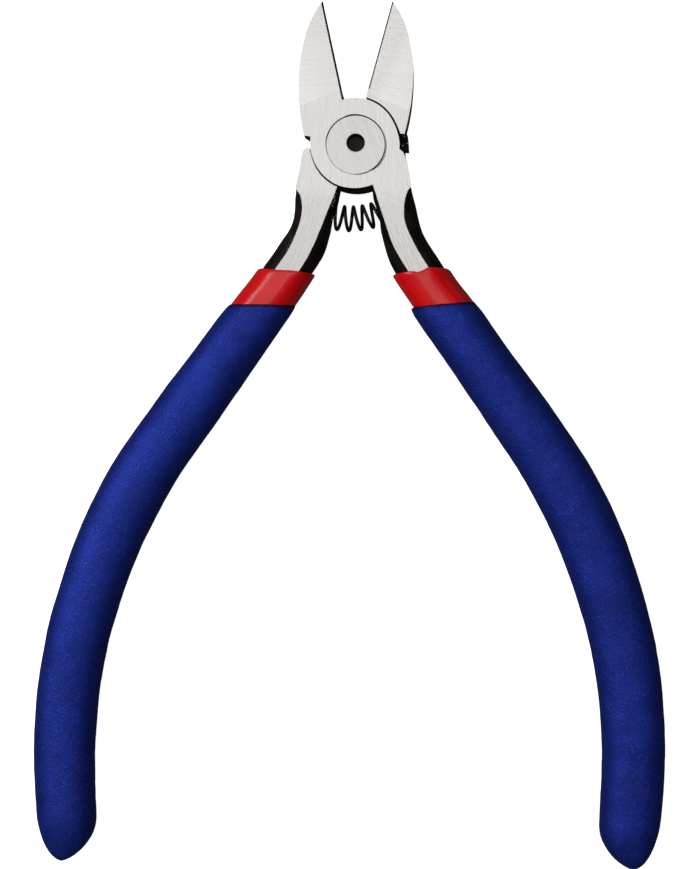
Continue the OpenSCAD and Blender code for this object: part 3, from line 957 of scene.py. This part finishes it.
def sleeve(name, body, node, side, top):
    """Dipped sleeve with a rolled top rim. top(i) is the depth of the rim by direction."""
    skin = Skin(side)
    tops = [top(i) for i in range(RING)]
    rings = [[skin.point(i, d, SLEEVE_PLAY) for i in range(RING)] for d in (98.9, 80.0, 60.0, 45.0, 30.0)]
    rings += [[skin.point(i, tops[i] + down, off) for i in range(RING)] for off, down in RIM]
    (rim_off, rim_down), steps = RIM[-1], 21
    for step in range(1, steps + 1):
        share = step / steps
        ring = []
        for i in range(RING):
            d = (tops[i] + rim_down) * (1 - share) + LEVEL_FROM * share
            ring.append(skin.point(i, d, sleeve_off(d) + (rim_off - SLEEVE_T) * (1 - share)))
        rings.append(ring)
    for d in list(np.arange(29.0, SLEEVE_END, 2.0)) + [SLEEVE_END]:
        rings.append([skin.point(i, float(d), sleeve_off(d)) for i in range(RING)])
    made = loft(name, rings)
    made.data.materials.append(RED)
    made.data.shade_smooth()
    made.data.set_sharp_from_angle(angle=math.radians(50))
    return place(made, body, node)


def left_top(i):
    """Straight rim, lower on the inner side."""
    return 18.72 + 0.78 * (1 - math.cos(DIRECTIONS[i])) / 2


def right_top(i):
    """Rim that is high on the outer side and steps down over the ground flat to the inner side."""
    c = math.cos(DIRECTIONS[i])
    inner = 1 - float(ease(c, -0.02, 0.22)) if math.sin(DIRECTIONS[i]) > 0 else 0.5 * (1 - c)
    dip = 0.17 * math.exp(-(c / 0.1) ** 2)
    return 18.36 + 0.06 * float(ease(c, 0.5, 1.0)) + 0.62 * inner + 0.45 * max(0.0, -c) ** 1.5 + dip


# ---------------------------------------------------------------- grips

NOSE_START, NOSE_LEAN = 101.6, 1.0
GRIP_END = {-1: 109.1, 1: 108.8}
grip_width = smooth([(24.3, 8.5), (25.2, 8.75), (27, 8.95), (31, 9.1), (38, 9.35), (46, 9.55), (56, 9.65),
                     (68, 9.6), (80, 9.5), (90, 9.38), (98, 9.2), (NOSE_START, 9.1)])
grip_half_t = smooth([(24.3, 4.0), (26, 4.18), (30, 4.28), (NOSE_START, 4.28)])
# What the grip of each side has more or less than that
EXTRA_WIDTH = {-1: smooth([(24, 0), (44, 0), (52, 0.12), (60, 0.12), (68, 0), (109, 0)]),
               1: smooth([(24, -0.25), (28, -0.15), (33, 0), (44, 0), (54, 0.27), (98, 0.27), (106, 0)])}
# Its section is a superellipse
GRIP_POWER = 2.3
ROUND_X = np.sign(np.cos(ANGLES)) * np.abs(np.cos(ANGLES)) ** (2 / GRIP_POWER)
ROUND_Z = np.sign(np.sin(ANGLES)) * np.abs(np.sin(ANGLES)) ** (2 / GRIP_POWER)
# How much narrower its top is on the side that faces +X
TRIM = 0.3
# Lip from the sleeve's surface over to the grip's: (share of the way, depth below the top, darkness of the
# painted shade where grip meets sleeve)
LIP = ((0.0, 0.9, 1), (0.1, 0.4, 1), (0.28, 0.1, 1), (0.45, 0.0, 1), (0.64, 0.04, 1), (0.8, 0.15, 0.9),
       (0.91, 0.33, 0.45), (0.975, 0.58, 0.12), (1.0, 0.9, 0))


def grip_ring(d, sign, tilt):
    """Ring of the grip's skin at depth d, and the middle of it. tilt shears the top rim."""
    s = min(1.0, max(0.0, (d - NOSE_START) / (GRIP_END[sign] - NOSE_START)))
    width = float(grip_width(d) + EXTRA_WIDTH[sign](d))
    half_w = width / math.cos(path_angle(min(d, NOSE_START))) / 2 * (1 - s * s) ** 0.65
    half_h = float(grip_half_t(d)) * math.sqrt(1 - s * s)
    x, z = half_w * ROUND_X, half_h * ROUND_Z
    trim = TRIM * (1 - float(ease(d, 27, 42)))
    x = np.where(x * sign > 0, x * (1 - trim / half_w), x) if half_w > 1 else x
    middle = float(handle_middle(d)) + NOSE_LEAN * s * s
    y = -(d + tilt * x * (1 - float(ease(d, 24, 34))))
    return np.stack([middle + x, y, MID_Z + z], axis=1), middle


def uneven(p, seed):
    """Slight lumps of a dipped skin, in millimetres."""
    return (0.07 * noise.noise(p * 0.16 + Vector((seed, 0, 0)))
            + 0.04 * noise.noise(p * 0.5 + Vector((0, seed, 0)))
            + 0.02 * noise.noise(p * 1.6 + Vector((0, 0, seed))) - 0.03)


def grip(name, body, node, side, top, tilt, seed):
    """Foamed dip: rounded top rim with painted shade where it meets the sleeve, closed nose, slightly
    uneven skin.
    """
    skin = Skin(side)
    sign = side.sign

    def inside(i, d):
        """Point just off the sleeve."""
        return skin.point(i, d, sleeve_off(d) + 0.01)

    inner_depths = (SLEEVE_END, 80.0, 60.0, 45.0, 33.0, 27.0, 26.2, 25.6)
    rings = [[inside(i, d) for i in range(RING)] for d in inner_depths]
    for share, down, _ in LIP:
        outer, _ = grip_ring(top + down, sign, tilt)
        ring = []
        for i, (x, y, z) in enumerate(outer):
            sx, _, sz = inside(i, -y)
            ring.append((sx * (1 - share) + sign * x * share, y, sz * (1 - share) + z * share))
        rings.append(ring)
    end = GRIP_END[sign]
    nose = [NOSE_START + (end - NOSE_START) * math.sin(math.pi / 2 * k / 40) for k in range(40)]
    for d in list(np.arange(top + 1.15, NOSE_START, 0.25)) + nose:
        outer, middle = grip_ring(float(d), sign, tilt)
        fade = float(ease(d, 24.6, 27))
        away = outer - np.array([middle, 0, MID_Z])
        away[:, 1] = 0
        ring = []
        for p, a in zip(outer, away):
            length = math.hypot(a[0], a[2])
            lump = fade * uneven(Vector((sign * p[0], p[1], p[2])), seed) if length > 0.5 else 0.0
            p = p + a * (lump / max(length, 0.5))
            ring.append((sign * p[0], p[1], min(max(p[2], 0.0), FRONT_Z)))
        rings.append(ring)
    m, n = len(rings), RING
    tip = (sign * (float(handle_middle(end)) + NOSE_LEAN), -end, MID_Z)
    verts = [p for ring in rings for p in ring] + [tip]
    last = (m - 1) * n
    faces = bands(m, n) + [tuple(range(n))] + [(last + i, last + (i + 1) % n, m * n) for i in range(n)]
    made = solid(name, verts, faces)
    # the LIP table's darkness column marks where the rim is painted with shade
    lip_painted_shade = np.zeros(len(verts), np.float32)
    for j, (_, _, dark) in enumerate(LIP, len(inner_depths)):
        lip_painted_shade[j * n:(j + 1) * n] = dark
    store(made.data, "lip_painted_shade", "FLOAT", "POINT", lip_painted_shade)
    made.data.materials.append(BLUE)
    made.data.shade_smooth()
    return place(made, body, node)


# ---------------------------------------------------------------- pieces

front_lever()
rear_lever()
rivet()
spring()
sleeve("left_sleeve_dip", "rear_half", "left_inner_sleeve", LEFT_TANG, left_top)
sleeve("right_sleeve_dip", "front_half", "right_inner_sleeve", RIGHT_TANG, right_top)
grip("left_grip_foam", "rear_half", "left_grip", LEFT_TANG, 24.3, -0.01, 3.7)
grip("right_grip_foam", "front_half", "right_grip", RIGHT_TANG, 23.9, -0.11, 11.3)


# ---------------------------------------------------------------- floor, light and camera

def floor():
    """Wide plane just below the tool: white to the camera, dark to everything else."""
    mesh = bpy.data.meshes.new("floor")
    mesh.from_pydata([(-3, -3, 0), (3, -3, 0), (3, 3, 0), (-3, 3, 0)], [], [(0, 1, 2, 3)])
    obj = bpy.data.objects.new("floor", mesh)
    obj.location.z = -0.00005
    bpy.context.scene.collection.objects.link(obj)
    made, n, shader = material("floor_white")
    seen = n.add("LightPath").outputs["Is Camera Ray"]
    n.fill(shader, Roughness=0.9, Specular_IOR_Level=0.1, Emission_Color=(1, 1, 1, 1),
           Emission_Strength=n.math("MULTIPLY", seen, 0.9),
           Base_Color=n.mix(seen, (0.1, 0.1, 0.1), (0.86, 0.86, 0.86)))
    mesh.materials.append(made)


def area(name, position, aim, size, power):
    """Rectangular light, in metres and watts."""
    light = bpy.data.lights.new(name, "AREA")
    light.shape = "RECTANGLE"
    light.size, light.size_y = size
    light.energy = power
    obj = bpy.data.objects.new(name, light)
    obj.location = position
    obj.rotation_mode = "QUATERNION"
    obj.rotation_quaternion = (Vector(aim) - Vector(position)).to_track_quat("-Z", "Y")
    bpy.context.scene.collection.objects.link(obj)


def world():
    """White to the camera. What lights the tool is brighter overhead and on the left, with pale walls."""
    made = bpy.data.worlds.new("studio")
    bpy.context.scene.world = made
    made.use_nodes = True
    tree = made.node_tree
    n = Nodes(tree)
    background = tree.nodes["Background"]
    up = n.add("TexCoord").outputs["Generated"]
    split = n.add("SeparateXYZ", (), Vector=up)
    height = n.ramp(split.outputs["Z"], (0.0, 0.04), (0.5, 0.12), (1.0, 0.45))
    from_left = n.math("ADD", n.math("MULTIPLY", split.outputs["X"], 0.5), 0.5)
    lean = n.ramp(from_left, (0.0, 1.0), (0.45, 0.9), (0.8, 0.12))
    # the walls stand low down, beyond both ends of the tool
    ends = n.ramp(n.math("ABSOLUTE", split.outputs["Y"]), (0.45, 0.0), (0.8, 0.25))
    wall = n.math("MULTIPLY", ends, n.ramp(split.outputs["Z"], (0.3, 1.0), (0.6, 0.0)))
    light = n.math("ADD", n.math("MULTIPLY", height, lean), wall)
    seen = n.add("LightPath").outputs["Is Camera Ray"]
    pale = n.math("MULTIPLY", seen, 0.95)
    rest = n.math("MULTIPLY", n.math("SUBTRACT", 1.0, seen), light)
    n.fill(background, Strength=n.math("ADD", pale, rest), Color=(1, 1, 1, 1))


def camera():
    """Straight down, a little from the right, as the photograph was taken."""
    data = bpy.data.cameras.new("camera")
    # in metres: how far the lens is from the pivot's front, and what the picture's height spans there
    distance, height_seen = 0.420, 0.13035
    data.sensor_width = 36
    data.lens = data.sensor_width * distance / height_seen
    obj = bpy.data.objects.new("camera", data)
    orbit, roll = math.radians(2.1), math.radians(0.79)
    # place of the pivot in the picture, in metres right of and above its middle
    pivot = Vector((0.000795, 0.04368, -distance))
    turn = Matrix.Rotation(orbit, 3, "Y") @ Matrix.Rotation(roll, 3, "Z")
    obj.rotation_mode = "QUATERNION"
    obj.rotation_quaternion = turn.to_quaternion()
    obj.location = Vector((0, 0, FRONT_Z * MM)) - turn @ pivot
    data.clip_start, data.clip_end = 0.01, 10
    bpy.context.scene.collection.objects.link(obj)
    bpy.context.scene.camera = obj


floor()
area("key", (-0.34, 0.08, 0.36), (-0.005, -0.04, 0), (0.26, 0.30), 1.35)
area("overhead", (-0.05, 0.10, 0.62), (0, -0.03, 0), (0.34, 0.52), 0.62)
area("right strip", (0.20, -0.01, 0.42), (0, -0.03, 0), (0.03, 0.36), 0.19)
world()
camera()
bpy.context.scene.view_settings.view_transform = "Standard"
